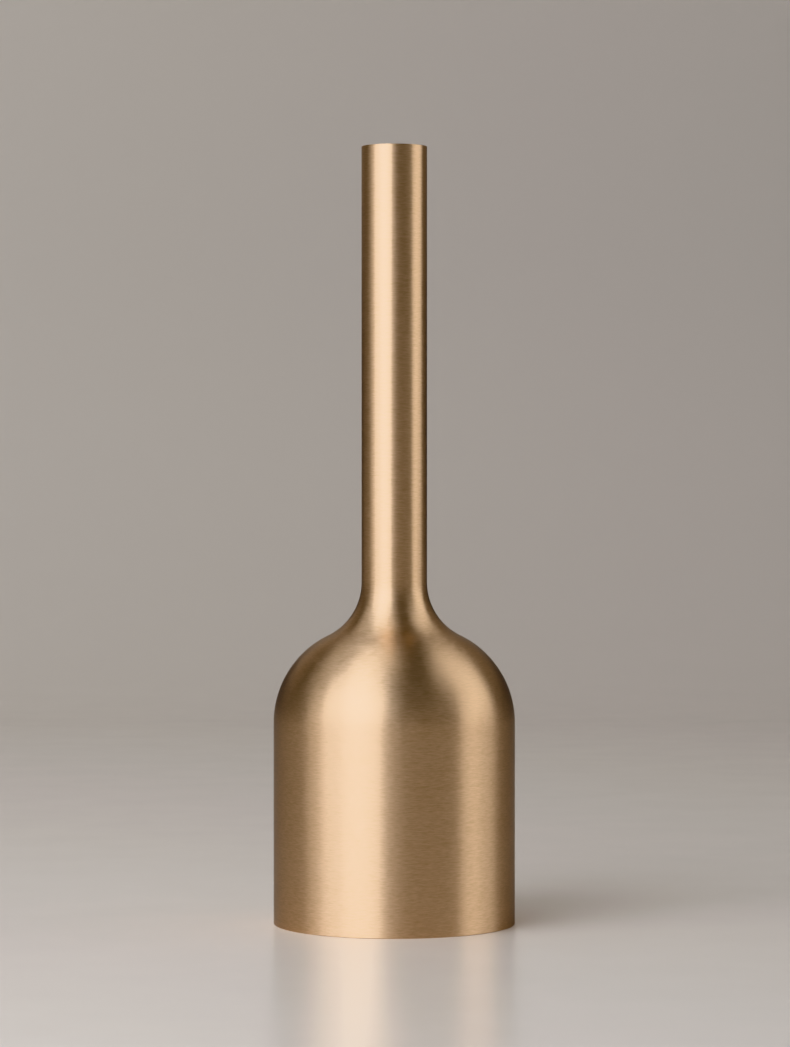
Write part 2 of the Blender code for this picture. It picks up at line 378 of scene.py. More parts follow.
def bolt_circle_tree():
    """Sets copies of its object's mesh on a circle round the Z axis."""
    found = bpy.data.node_groups.get("bolt_circle")
    if found:
        return found
    inputs = [("Count", "Int"), ("Circle Radius", "Float"), ("Finish", "Material")]
    tree, given = new_tree("bolt_circle", inputs)
    places = add(
        tree, "GeometryNodeMeshCircle", {"Vertices": given["Count"], "Radius": given["Circle Radius"]}
    )
    copies = add(
        tree,
        "GeometryNodeInstanceOnPoints",
        {"Points": places.outputs[0], "Instance": given["Geometry"]},
    )
    return end_tree(tree, copies.outputs[0], given["Finish"])


def thread_tree():
    """Cuts a thread into a shank that stands on the Z axis.

    The groove's depth follows the height and the turn together, so it climbs one pitch a turn.
    """
    labels = ("Crest Radius", "Pitch", "Depth", "Low End", "High End")
    inputs = [(label, "Float") for label in labels]
    tree, given = new_tree("thread", inputs + [("Finish", "Material")])
    place = add(tree, "ShaderNodeSeparateXYZ", {0: add(tree, "GeometryNodeInputPosition").outputs[0]})
    known = {label: given[label] for label in labels}
    known.update({axis: place.outputs[axis] for axis in "XYZ"})
    formulas = (
        ("turn", "ARCTAN2", "Y", "X"),
        ("turns", "DIVIDE", "turn", math.tau),
        ("climb", "DIVIDE", "Z", "Pitch"),
        ("phase", "SUBTRACT", "climb", "turns"),
        ("groove", "PINGPONG", "phase", 0.5),
        ("from low", "SUBTRACT", "Z", "Low End"),
        ("from high", "SUBTRACT", "High End", "Z"),
        ("from end", "MINIMUM", "from low", "from high"),
        ("inside", "DIVIDE", "from end", "Pitch"),
        ("above none", "MAXIMUM", "inside", 0.0),
        ("run-out", "MINIMUM", "above none", 1.0),
        ("cut share", "MULTIPLY", "groove", "run-out"),
        ("double depth", "MULTIPLY", "Depth", 2.0),
        ("cut", "MULTIPLY", "cut share", "double depth"),
        ("cut by radius", "DIVIDE", "cut", "Crest Radius"),
        ("left", "SUBTRACT", 1.0, "cut by radius"),
        ("new X", "MULTIPLY", "X", "left"),
        ("new Y", "MULTIPLY", "Y", "left"),
    )
    known = worked_out(tree, known, formulas)
    moved = add(
        tree, "ShaderNodeCombineXYZ", {"X": known["new X"], "Y": known["new Y"], "Z": known["Z"]}
    )
    threaded = add(
        tree, "GeometryNodeSetPosition", {"Geometry": given["Geometry"], "Position": moved.outputs[0]}
    )
    return end_tree(tree, threaded.outputs[0], given["Finish"])


def rounded(corners):
    """Points (r, z) of a section, from its corners (r, z, rounding radius)."""
    spots = [Vector(corner[:2]) for corner in corners]
    points = []
    for at, (spot, (_, _, radius)) in enumerate(zip(spots, corners)):
        if not radius:
            points.append(tuple(spot))
            continue
        back = (spots[at - 1] - spot).normalized()
        on = (spots[(at + 1) % len(spots)] - spot).normalized()
        half = back.angle(on) / 2
        centre = spot + (back + on).normalized() * (radius / math.sin(half))
        first = spot + back * (radius / math.tan(half)) - centre
        last = spot + on * (radius / math.tan(half)) - centre
        start = math.atan2(first.y, first.x)
        sweep = math.remainder(math.atan2(last.y, last.x) - start, math.tau)
        # A big round gets more points than a small one, so that neither shows its corners
        steps = max(LEAST_STEPS, math.ceil(abs(sweep) * math.sqrt(radius / MM) * ROUND_STEPS))
        for step in range(steps + 1):
            angle = start + sweep * step / steps
            points.append((centre.x + radius * math.cos(angle), centre.y + radius * math.sin(angle)))
    return points


def source_object(name, points=(), closed=False):
    """An object for a tree to start from, holding a section's points and edges in the XZ plane."""
    count = len(points)
    edges = [(at, (at + 1) % count) for at in range(count if closed else count - 1)]
    mesh = bpy.data.meshes.new(name)
    mesh.from_pydata([(r, 0.0, z) for r, z in points], edges, [])
    source = bpy.data.objects.new(name, mesh)
    bpy.context.scene.collection.objects.link(source)
    return source


def plain_piece(source, name):
    """What an object's modifiers make, as a plain mesh: merged, facing outwards and smooth."""
    graph = bpy.context.evaluated_depsgraph_get()
    mesh = bpy.data.meshes.new_from_object(source.evaluated_get(graph))
    bpy.data.objects.remove(source)
    form = bmesh.new()
    form.from_mesh(mesh)
    bmesh.ops.remove_doubles(form, verts=form.verts, dist=WELD)
    bmesh.ops.recalc_face_normals(form, faces=form.faces)
    form.to_mesh(mesh)
    form.free()
    mesh.name = name
    mesh.shade_smooth()
    mesh.set_sharp_from_angle(angle=SHARP)
    piece = bpy.data.objects.new(name, mesh)
    bpy.context.scene.collection.objects.link(piece)
    return piece


def turned(name, corners, finish, closed=False, facets=TUBE_FACETS):
    """A solid turned from a section's corners. An open section starts and ends on the axis."""
    source = source_object(name + "_section", rounded(corners), closed)
    return plain_piece(run_tree(source, lathe_tree(), facets=facets, finish=finish), name)


def on_bolt_circle(piece, sizes, finish):
    """Copies of a piece where the screws are, as one piece."""
    name = piece.name
    circle = sizes.ballast_radius - sizes.screw_inset
    run_tree(piece, bolt_circle_tree(), count=sizes.screws, circle_radius=circle, finish=finish)
    return plain_piece(piece, name)


def bored(piece, cutter):
    """Takes the cutter's shape out of the piece."""
    name = piece.name
    bore = piece.modifiers.new(cutter.name, "BOOLEAN")
    bore.operation = "DIFFERENCE"
    bore.object = cutter
    piece = plain_piece(piece, name)
    bpy.data.objects.remove(cutter)
    return piece


def stand_in(piece, body, slot, *nodes):
    """Puts a finished piece on its body, in place of the solids that it stands for."""
    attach(piece, body)
    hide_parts(*nodes)
    return piece


def new_material(name):
    """A material of that name and its empty tree."""
    made = bpy.data.materials.new(name)
    made.use_nodes = True
    made.node_tree.nodes.clear()
    return made, made.node_tree


def surfaced(made, inputs):
    """The material, ended in a shader with those inputs."""
    tree = made.node_tree
    shader = add(tree, "ShaderNodeBsdfPrincipled", inputs)
    add(tree, "ShaderNodeOutputMaterial", {"Surface": shader.outputs[0]})
    return made


def object_place(tree):
    """A place on the object, in metres."""
    return add(tree, "ShaderNodeTexCoord").outputs["Object"]


def parts_of(tree, place):
    """The X, Y and Z of a place."""
    return add(tree, "ShaderNodeSeparateXYZ", {0: place}).outputs


def off_axis(tree, parts):
    """How far from the Z axis a place lies."""
    flat = add(tree, "ShaderNodeCombineXYZ", {"X": parts["X"], "Y": parts["Y"]}).outputs[0]
    return add(tree, "ShaderNodeVectorMath", {0: flat}, operation="LENGTH").outputs["Value"]


def stretched(tree, place, across, along):
    """A place counted in steps of one size across the Z axis and another along it."""
    steps = (1 / across, 1 / across, 1 / along)
    return add(tree, "ShaderNodeVectorMath", {0: place, 1: steps}, operation="MULTIPLY").outputs[0]


def noise(tree, place, width, detail=2.0, output="Fac"):
    """Noise with blots of about that width."""
    inputs = {"Vector": place, "Scale": 1 / width, "Detail": detail}
    return add(tree, "ShaderNodeTexNoise", inputs).outputs[output]


def tool_rings(tree, radius, width):
    """Rings of about that width, as a lathe's tool leaves them."""
    inputs = {"W": radius, "Scale": 1 / width}
    return add(tree, "ShaderNodeTexNoise", inputs, noise_dimensions="1D").outputs[0]


def between(tree, share, low, high):
    """A number between two, by its share of the second."""
    inputs = {"Value": share, "To Min": low, "To Max": high}
    return add(tree, "ShaderNodeMapRange", inputs).outputs[0]


def blend(tree, share, first, second):
    """A colour between two, by its share of the second."""
    inputs = {"Factor": share, COLOUR_A: first, COLOUR_B: second}
    return add(tree, "ShaderNodeMix", inputs, data_type="RGBA").outputs[COLOUR_OUT]


def bumped(tree, height, strength, distance):
    """A normal that follows a height."""
    inputs = {"Height": height, "Strength": strength, "Distance": distance}
    return add(tree, "ShaderNodeBump", inputs).outputs[0]


def round_axis(tree):
    """The way in which marks from a lathe run."""
    return add(tree, "ShaderNodeTangent", direction_type="RADIAL", axis="Z").outputs[0]


def lathe_brushed_brass(finishes):
    """Unlacquered brass, brushed with an abrasive pad while it turned on the lathe.

    The pad leaves hairlines round the axis. They throw light up and down the piece but hardly
    sideways, so a softbox shows as a tall band with soft sides.
    """
    name = "lathe-brushed brass"
    if name in bpy.data.materials:
        return bpy.data.materials[name]
    made, tree = new_material(name)
    # Real hairlines are 0.05 mm wide, too fine to show, so they are drawn 0.3 mm wide
    hairline, band, band_share = (0.3 * MM, 2.2 * MM), (1.1 * MM, 30 * MM), 0.25
    parts = parts_of(tree, object_place(tree))
    travel = add(tree, "ShaderNodeAttribute", attribute_name="travel").outputs["Fac"]
    spot = add(tree, "ShaderNodeCombineXYZ", {"X": parts["X"], "Y": parts["Y"], "Z": travel}).outputs[0]
    grain = []
    for width, run in (hairline, band):
        place = stretched(tree, spot, run, width)
        inputs = {"Vector": place, "Scale": 1.0, "Detail": 3.0, "Roughness": 0.6}
        grain.append(add(tree, "ShaderNodeTexNoise", inputs).outputs["Fac"])
    lines, bands = grain
    both = add(tree, "ShaderNodeMath", {0: bands, 1: band_share, 2: lines}, operation="MULTIPLY_ADD")
    spread = {"Value": both.outputs[0], "From Min": 0.42, "From Max": 0.82}
    tone = add(tree, "ShaderNodeMapRange", spread).outputs[0]
    rough = add(tree, "ShaderNodeMapRange", {**spread, "To Min": 0.32, "To Max": 0.46}).outputs[0]
    worn, bright = solid_colour(finishes.worn_brass), solid_colour(finishes.brass)
    return surfaced(
        made,
        {
            "Base Color": blend(tree, tone, worn, bright),
            "Metallic": 1.0,
            "Roughness": rough,
            "Specular Tint": solid_colour(linear(GRAZING_HEX)),
            "Anisotropic": 0.85,
            "Anisotropic Rotation": 0.25,
            "Tangent": round_axis(tree),
            "Normal": bumped(tree, lines, 0.25, 0.02 * MM),
        },
    )


def face_turned_brass(base):
    """Brass disc faced on the lathe, so the tool's feed leaves fine rings that fan the light out."""
    made, tree = new_material("face-turned brass")
    # The feed of 0.1 mm a turn is too fine to show, so the rings are drawn 0.4 mm apart
    ring_width = 0.4 * MM
    rings = tool_rings(tree, off_axis(tree, parts_of(tree, object_place(tree))), ring_width)
    return surfaced(
        made,
        {
            "Base Color": solid_colour(base),
            "Metallic": 1.0,
            "Roughness": between(tree, rings, 0.26, 0.42),
            "Anisotropic": 0.7,
            "Anisotropic Rotation": 0.25,
            "Tangent": round_axis(tree),
            "Normal": bumped(tree, rings, 0.5, 0.02 * MM),
        },
    )


def cast_iron(skin, sizes):
    """Grey iron, sand-cast, with a dull pitted skin, machined bright underneath and in the socket."""
    made, tree = new_material("sand-cast iron")
    grit, ring_width, blotch_width = 0.6 * MM, 0.5 * MM, 9 * MM
    # Where the tool stops: just past the socket's mouth, and just above the foot
    socket_edge = sizes.socket_radius + 2.7 * MM
    face = sizes.plate_top + 0.4 * MM
    place = object_place(tree)
    parts = parts_of(tree, place)
    radius = off_axis(tree, parts)
    formulas = (
        ("in socket", "LESS_THAN", "radius", socket_edge),
        ("at face", "LESS_THAN", "height", face),
        ("machined", "MAXIMUM", "in socket", "at face"),
    )
    machined = worked_out(tree, {"radius": radius, "height": parts["Z"]}, formulas)["machined"]
    sand = noise(tree, place, grit, 4.0)
    rings = tool_rings(tree, radius, ring_width)
    relief = add(tree, "ShaderNodeMix", {"Factor": machined, FLOAT_A: sand, FLOAT_B: rings})
    dust, bright = solid_colour(linear(DUST_HEX)), solid_colour(linear(MACHINED_IRON_HEX))
    cast = blend(tree, noise(tree, place, blotch_width, 5.0), solid_colour(skin), dust)
    return surfaced(
        made,
        {
            "Base Color": blend(tree, machined, cast, bright),
            "Metallic": 0.85,
            "Roughness": between(tree, machined, 0.72, 0.38),
            "Normal": bumped(tree, relief.outputs[FLOAT_OUT], 0.6, 0.15 * MM),
        },
    )


def zinc_plated_steel(base):
    """Bright zinc plate over steel: cold white metal, faintly cloudy from the bath."""
    made, tree = new_material("zinc-plated steel")
    cloud_width = 1.2 * MM
    rough = between(tree, noise(tree, object_place(tree), cloud_width, 3.0), 0.24, 0.44)
    return surfaced(made, {"Base Color": solid_colour(base), "Metallic": 1.0, "Roughness": rough})


def pressed_wool_felt(base):
    """Dark wool felt, die-cut: matted fibres that run every way and catch a little light."""
    made, tree = new_material("pressed wool felt")
    # Wool fibres are 0.03 mm thick, too fine to show, so they are drawn 0.15 mm thick
    fibre, mat = 0.15 * MM, 2.5 * MM
    # A ridge of the noise is about a quarter as wide as its blots
    ridge_share = 0.25
    place = object_place(tree)
    curl = noise(tree, place, mat, 3.0, "Color")
    wander = add(
        tree, "ShaderNodeVectorMath", {0: curl, 1: (mat, mat, mat), 2: place}, operation="MULTIPLY_ADD"
    )
    strands = add(
        tree,
        "ShaderNodeTexNoise",
        {"Vector": wander.outputs[0], "Scale": ridge_share / fibre, "Detail": 2.0},
        noise_type="RIDGED_MULTIFRACTAL",
        normalize=True,
    ).outputs[0]
    return surfaced(
        made,
        {
            "Base Color": blend(tree, strands, solid_colour(base), solid_colour(linear(FIBRE_HEX))),
            "Roughness": 0.95,
            "Specular IOR Level": 0.2,
            "Sheen Weight": 0.35,
            "Sheen Roughness": 0.5,
            "Normal": bumped(tree, strands, 0.7, 0.1 * MM),
        },
    )


def moulded_silicone(base):
    """Translucent white silicone from a blasted mould, so it glows a little and has a matt skin."""
    made, tree = new_material("moulded silicone")
    blast_width = 0.3 * MM
    return surfaced(
        made,
        {
            "Base Color": solid_colour(base),
            "Roughness": 0.55,
            "IOR": 1.41,
            "Subsurface Weight": 0.6,
            "Subsurface Scale": 2 * MM,
            "Normal": bumped(tree, noise(tree, object_place(tree), blast_width), 0.3, 0.03 * MM),
        },
    )


def drawn_glass(base):
    """Borosilicate tube, drawn hot, so faint lines run down it and bend what is seen through it."""
    made, tree = new_material("drawn borosilicate glass")
    across, along = 1.5 * MM, 180 * MM
    lines = noise(tree, stretched(tree, object_place(tree), across, along), 1.0)
    return surfaced(
        made,
        {
            "Base Color": solid_colour(base),
            "Roughness": 0.01,
            "IOR": 1.47,
            "Transmission Weight": 1.0,
            "Normal": bumped(tree, lines, 0.08, 0.02 * MM),
        },
    )


def half_gloss_board(base):
    """Coated studio board: pale, even, and glossy enough to mirror the vase softly."""
    made, tree = new_material("half-gloss coated board")
    # The coating varies over a few centimetres, which breaks the mirror image up a little
    coat_width = 30 * MM
    rough = between(tree, noise(tree, object_place(tree), coat_width), 0.23, 0.27)
    return surfaced(made, {"Base Color": solid_colour(base), "Roughness": rough})


class BUDVASE_OT_shell(bpy.types.Operator):
    """Spin the shell: skirt, dome, concave root and collar in one wall"""

    bl_idname = "bud_vase.shell"
    bl_label = "Spun shell"

    def execute(self, context):
        sizes = context.scene.bud_vase_brass
        source = run_tree(
            source_object("shell_section"),
            spun_shell_tree(),
            body_radius=sizes.body_radius,
            neck_radius=sizes.neck_radius,
            skirt_height=sizes.skirt_height,
            dome_radius=sizes.dome_radius,
            root_radius=sizes.root_radius,
            collar_top=sizes.collar_top,
            wall=sizes.wall,
            collar_wall=sizes.collar_wall,
            rebate_wall=sizes.rebate_wall,
            rebate_top=context.scene.bud_vase_foot.plate_top,
            edge=sizes.edge,
            arc_points=ARC_POINTS,
            facets=BODY_FACETS,
            finish=lathe_brushed_brass(context.scene.bud_vase_finishes),
        )
        stand_in(plain_piece(source, "spun_shell"), "vase", "brushed_brass", "body_shell")
        return {"FINISHED"}


class BUDVASE_OT_neck(bpy.types.Operator):
    """Turn the neck tube, with its square-cut rim and its spigot"""

    bl_idname = "bud_vase.neck"
    bl_label = "Neck tube"

    def execute(self, context):
        sizes = context.scene.bud_vase_brass
        outside, bore = sizes.neck_radius, sizes.neck_radius - sizes.wall
        # Solder fills the joint, all but a hairline
        play, seam = 0.02 * MM, 0.01 * MM
        spigot = outside - sizes.collar_wall - play
        shoulder = sizes.collar_top + seam
        end = shoulder - sizes.spigot_length
        corners = [
            (outside, shoulder, 0),
            (outside, sizes.height, sizes.edge),
            (bore, sizes.height, sizes.edge),
            (bore, end, 0),
            (spigot, end, 0.1 * MM),
            (spigot, shoulder, 0),
        ]
        brass = lathe_brushed_brass(context.scene.bud_vase_finishes)
        piece = turned("neck", corners, brass, closed=True)
        stand_in(piece, "vase", "brushed_brass", "neck_tube")
        return {"FINISHED"}


class BUDVASE_OT_plate(bpy.types.Operator):
    """Face the base plate and countersink it for the screws"""

    bl_idname = "bud_vase.plate"
    bl_label = "Base plate"

    def execute(self, context):
        sizes = context.scene.bud_vase_foot
        finish = face_turned_brass(context.scene.bud_vase_finishes.plate)
        low, high, edge = sizes.plate_bottom, sizes.plate_top, 0.2 * MM
        corners = [
            (0, low, 0),
            (sizes.plate_radius, low, edge),
            (sizes.plate_radius, high, edge),
            (0, high, 0),
        ]
        disc = turned("plate", corners, finish, facets=BODY_FACETS)
        play, head_play, recess, beyond = 0.2 * MM, 0.3 * MM, 0.1 * MM, 1 * MM
        hole, mouth = sizes.screw_radius + play, sizes.head_radius + head_play
        cone = [
            (0, low - beyond, 0),
            (mouth, low - beyond, 0),
            (mouth, low + recess, 0),
            (hole, low + recess + mouth - hole, 0),
            (hole, high + beyond, 0),
            (0, high + beyond, 0),
        ]
        cutter = turned("countersinks", cone, finish, facets=SCREW_FACETS)
        piece = bored(disc, on_bolt_circle(cutter, sizes, finish))
        stand_in(piece, "vase", "turned_brass", "base_plate")
        return {"FINISHED"}


class BUDVASE_OT_ballast(bpy.types.Operator):
    """Cast the iron ballast, bore its socket and drill it for the screws"""

    bl_idname = "bud_vase.ballast"
    bl_label = "Ballast"

    def execute(self, context):
        sizes = context.scene.bud_vase_foot
        finish = cast_iron(context.scene.bud_vase_finishes.iron, sizes)
        low, high = sizes.plate_top, sizes.ballast_top
        socket_floor, lead_in = high - sizes.socket_depth, 2.5 * MM
        corners = [
            (0, low, 0),
            (sizes.ballast_radius, low, 1.0 * MM),
            (sizes.ballast_radius, high, 2.5 * MM),
            (sizes.socket_radius + lead_in, high, 0.5 * MM),
            (sizes.socket_radius, high - lead_in, 0.3 * MM),
            (sizes.socket_radius, socket_floor, 0.3 * MM),
            (0, socket_floor, 0),
        ]
        slug = turned("iron", corners, finish)
        play, spare, beyond = 0.1 * MM, 1.5 * MM, 1 * MM
        hole = sizes.screw_radius + play
        depth = sizes.plate_bottom + sizes.screw_length + spare
        drill = [
            (0, low - beyond, 0),
            (hole, low - beyond, 0),
            (hole, depth, 0),
            (0, depth + hole / math.sqrt(3), 0),
        ]
        cutter = turned("drilled_holes", drill, finish, facets=SCREW_FACETS)
        piece = bored(slug, on_bolt_circle(cutter, sizes, finish))
        stand_in(piece, "vase", "cast_iron", "ballast")
        return {"FINISHED"}


class BUDVASE_OT_screws(bpy.types.Operator):
    """Make the countersunk screws and set them through the plate"""

    bl_idname = "bud_vase.screws"
    bl_label = "Screws"

    def execute(self, context):
        sizes = context.scene.bud_vase_foot
        finish = zinc_plated_steel(context.scene.bud_vase_finishes.zinc)
        sunk, tip, key_depth, beyond = 0.2 * MM, 0.4 * MM, 1.5 * MM, 1 * MM
        low = sizes.plate_bottom + sunk
        high = low + sizes.screw_length
        under_head = low + sizes.head_radius - sizes.screw_radius
        # The shank needs rows close enough to hold the thread's shape
        rows_a_turn = 10
        rows = math.ceil((high - under_head) / sizes.pitch * rows_a_turn)
        rise = (high - tip - under_head) / rows
        corners = [
            (0, low, 0),
            (sizes.head_radius, low, 0.1 * MM),
            *[(sizes.screw_radius, under_head + rise * row, 0) for row in range(rows + 1)],
            (sizes.screw_radius - tip, high, 0),
            (0, high, 0),
        ]
        blank = turned("screws", corners, finish, facets=SCREW_FACETS)
        run_tree(
            blank,
            thread_tree(),
            crest_radius=sizes.screw_radius,
            pitch=sizes.pitch,
            depth=THREAD_SHARE * sizes.pitch,
            low_end=under_head + 0.5 * MM,
            high_end=high,
            finish=finish,
        )
        threaded = plain_piece(blank, "screws")
        corner, floor = sizes.hexagon / math.sqrt(3), low + key_depth
        key = [
            (0, low - beyond, 0),
            (corner, low - beyond, 0),
            (corner, floor, 0),
            (0, floor + corner / 3, 0),
        ]
        screw = bored(threaded, turned("hexagon", key, finish, facets=6))
        piece = on_bolt_circle(screw, sizes, finish)
        nodes = [f"ballast_screw_{number}" for number in (1, 2, 3)]
        stand_in(piece, "vase", "zinc_plated_steel", *nodes)
        return {"FINISHED"}


class BUDVASE_OT_felt(bpy.types.Operator):
    """Cut the felt pad that the vase stands on"""

    bl_idname = "bud_vase.felt"
    bl_label = "Felt pad"

    def execute(self, context):
        sizes = context.scene.bud_vase_foot
        finish = pressed_wool_felt(context.scene.bud_vase_finishes.felt)
        corners = [
            (0, 0, 0),
            (sizes.pad_radius, 0, 0.45 * MM),
            (sizes.pad_radius, sizes.plate_bottom, 0.1 * MM),
            (0, sizes.plate_bottom, 0),
        ]
        piece = turned("felt", corners, finish, facets=BODY_FACETS)
        stand_in(piece, "vase", "wool_felt", "foot_pad")
        return {"FINISHED"}


class BUDVASE_OT_cushion(bpy.types.Operator):
    """Mould the silicone cup that the glass stands on"""

    bl_idname = "bud_vase.cushion"
    bl_label = "Tube cushion"

    def execute(self, context):
        sizes = context.scene.bud_vase_tube
        foot = context.scene.bud_vase_foot
        finish = moulded_silicone(context.scene.bud_vase_finishes.silicone)
        seat = 0.05 * MM
        low = foot.ballast_top - foot.socket_depth + seat
        middle = sizes.glass_bottom + sizes.glass_radius
        dish = sizes.glass_radius + seat
        lip = math.asin((sizes.cushion_top - middle) / dish)
        steps = 24
        angles = [lip - (lip + math.pi / 2) * step / steps for step in range(1, steps + 1)]
        corners = [
            (0, low, 0),
            (sizes.cushion_radius, low, 0.5 * MM),
            (sizes.cushion_radius, sizes.cushion_top, 0.15 * MM),
            (dish * math.cos(lip), sizes.cushion_top, 0.1 * MM),
            *[(dish * math.cos(angle), middle + dish * math.sin(angle), 0) for angle in angles],
        ]
        piece = turned("cushion", corners, finish)
        stand_in(piece, "vase", "silicone_rubber", "tube_cushion")
        return {"FINISHED"}


class BUDVASE_OT_glass(bpy.types.Operator):
    """Draw the glass water tube, round at the bottom, its lip fire-polished"""

    bl_idname = "bud_vase.glass"
    bl_label = "Water tube"

    def execute(self, context):
        sizes = context.scene.bud_vase_tube
        finish = drawn_glass(context.scene.bud_vase_finishes.glass)
        bore = sizes.glass_radius - sizes.glass_wall
        # Just under half the wall, so that the lip is round all over
        lip = 0.49 * sizes.glass_wall
        inner_bottom = sizes.glass_bottom + sizes.glass_wall
        corners = [
            (0, sizes.glass_bottom, 0),
            (sizes.glass_radius, sizes.glass_bottom, sizes.glass_radius),
            (sizes.glass_radius, sizes.glass_top, lip),
            (bore, sizes.glass_top, lip),
            (bore, inner_bottom, bore),
            (0, inner_bottom, 0),
        ]
        stand_in(turned("glass", corners, finish), "liner", "borosilicate_glass", "water_tube")
        return {"FINISHED"}


class BUDVASE_OT_studio(bpy.types.Operator):
    """Set the floor, the softboxes and the camera"""

    bl_idname = "bud_vase.studio"
    bl_label = "Studio"

    def execute(self, context):
        studio = context.scene.bud_vase_studio
        swept_floor(studio)
        for softbox in KEYS:
            hang(studio.key_tint, *softbox)
        for softbox in FILLS:
            hang(studio.fill_tint, *softbox)
        for softbox in BACKDROP_LAMPS:
            hang(studio.fill_tint, *softbox).visible_glossy = False
        for softbox in MIRRORED_LAMPS:
            hang(studio.fill_tint, *softbox).visible_diffuse = False
        for card in CARDS:
            stand_card(*card)
        room(studio)
        camera(studio)
        context.scene.view_settings.view_transform = "Khronos PBR Neutral"
        return {"FINISHED"}


VASE = Vector((0, 0, 100 * MM))


def around(azimuth, elevation, distance):
    """A place round the vase, by its azimuth from the camera's side towards +X and its elevation."""
    turn, rise = math.radians(azimuth), math.radians(elevation)
    way = Vector((math.sin(turn) * math.cos(rise), -math.cos(turn) * math.cos(rise), math.sin(rise)))
    return VASE + way * distance


# Blender's power for a square metre of softbox with a radiance of 1
FULL_POWER = 4

# Each softbox has a name, its place, what it faces, its width and height in metres, and its radiance
KEYS = (
    ("key_wide", around(-42, 22, 1.1), VASE, 1.27, 0.89, 2.2),
    ("key", around(-31, 15, 1.1), VASE, 0.76, 0.59, 0.93),
    ("key_heart", around(-36, 7, 1.1), VASE, 0.46, 0.3, 0.95),
    ("key_edge", around(-2, 20, 1.1), VASE, 0.2, 0.5, 0.63),
    ("key_top", around(-48, 51, 1.2), VASE, 0.5, 0.4, 2.5),
)
FILLS = (
    ("left_low", around(-79, 8, 1.1), VASE, 0.4, 0.34, 0.88),
    ("left_high", around(-97, 34, 1.2), VASE, 0.5, 0.6, 0.3),
    ("top", around(-60, 78, 1.2), VASE, 0.7, 0.5, 1.08),
    ("back_left", around(-128, 55, 1.2), VASE, 0.6, 0.5, 0.42),
    ("right_low", around(76, 8, 1.1), VASE, 0.4, 0.34, 1.45),
    ("right_mid", around(98, 14, 1.1), VASE, 0.5, 0.5, 1.06),
    ("front_fill", around(26, 20, 1.1), VASE, 1.0, 0.4, 0.06),
)
# Two light the wall. Three face away from the vase and light the floor beyond the other softboxes
BACKDROP_LAMPS = (
    ("wall_left", Vector((-1.0, 1.0, 0.9)), Vector((-0.5, 1.8, 0.5)), 0.5, 0.5, 1.6),
    ("wall_right", Vector((0.3, 0.7, 1.6)), Vector((0.1, 1.8, 0.7)), 0.6, 0.6, 0.6),
    ("far_front", Vector((0, -1.5, 1.2)), Vector((0, -3.0, 0.3)), 2.4, 0.5, 2.2),
    ("far_left", Vector((-1.5, -0.4, 1.2)), Vector((-3.0, -0.4, 0.3)), 2.4, 0.5, 2.2),
    ("far_right", Vector((1.5, -0.4, 1.2)), Vector((3.0, -0.4, 0.3)), 2.4, 0.5, 2.2),
)
# This one shows in the brass, but lights no floor behind it
MIRRORED_LAMPS = (("right_high", around(95, 46, 1.2), VASE, 0.9, 0.8, 0.92),)
# Grey cards beside the picture, which the brass mirrors along its edges instead of the pale wall
CARDS = (
    ("card_left", around(-143, 3, 1.0), 0.8, 0.3),
    ("card_right", around(143, 3, 1.0), 0.8, 0.3),
)


def hang(tint, name, place, aim, width, height, radiance):
    """Hangs one softbox. Neither the camera nor the glass sees it."""
    lamp = bpy.data.lights.new(name, "AREA")
    lamp.shape = "RECTANGLE"
    lamp.size = width
    lamp.size_y = height
    lamp.energy = FULL_POWER * radiance * width * height
    lamp.color = tint
    softbox = bpy.data.objects.new(name, lamp)
    softbox.location = place
    softbox.rotation_euler = (aim - place).to_track_quat("-Z", "Y").to_euler()
    softbox.visible_camera = False
    softbox.visible_transmission = False
    bpy.context.scene.collection.objects.link(softbox)
    return softbox


def stand_card(name, place, width, height):
    """Stands one grey card, which shows only where the brass mirrors it."""
    made, tree = new_material(name)
    paper = add(tree, "ShaderNodeBsdfDiffuse", {"Color": solid_colour(linear(CARD_HEX))})
    nothing = add(tree, "ShaderNodeBsdfTransparent")
    # The vase stands far enough away to mirror the whole card, which fades out for the floor nearby
    gone, whole = 0.4, 0.95
    way = add(tree, "ShaderNodeLightPath").outputs["Ray Length"]
    seen = add(tree, "ShaderNodeMapRange", {"Value": way, "From Min": gone, "From Max": whole})
    both = add(
        tree,
        "ShaderNodeMixShader",
        {0: seen.outputs[0], 1: nothing.outputs[0], 2: paper.outputs[0]},
    )
    add(tree, "ShaderNodeOutputMaterial", {"Surface": both.outputs[0]})
    corners = [(x * width / 2, y * height / 2, 0) for x, y in ((-1, -1), (1, -1), (1, 1), (-1, 1))]
    mesh = bpy.data.meshes.new(name)
    mesh.from_pydata(corners, [], [(0, 1, 2, 3)])
    mesh.materials.append(made)
    card = bpy.data.objects.new(name, mesh)
    card.location = place
    card.rotation_euler = (VASE - place).to_track_quat("Z", "Y").to_euler()
    card.visible_camera = False
    card.visible_transmission = False
    card.visible_diffuse = False
    card.visible_shadow = False
    bpy.context.scene.collection.objects.link(card)


def swept_floor(studio):
    """A table top that sweeps up into a wall behind the vase."""
    half_width, front, top = 2.5, -3.0, 2.5
    bend_start, bend, steps = 0.8, 1.0, 48
    path = [(front, 0.0)]
    for step in range(steps + 1):
        angle = math.pi / 2 * step / steps
        path.append((bend_start + bend * math.sin(angle), bend * (1 - math.cos(angle))))
    path.append((bend_start + bend, top))
    corners = [(x, y, z) for y, z in path for x in (-half_width, half_width)]
    strips = [(2 * at, 2 * at + 1, 2 * at + 3, 2 * at + 2) for at in range(len(path) - 1)]
    mesh = bpy.data.meshes.new("floor")
    mesh.from_pydata(corners, [], strips)
    mesh.shade_smooth()
    mesh.materials.append(half_gloss_board(studio.floor))
    floor = bpy.data.objects.new("floor", mesh)
    bpy.context.scene.collection.objects.link(floor)


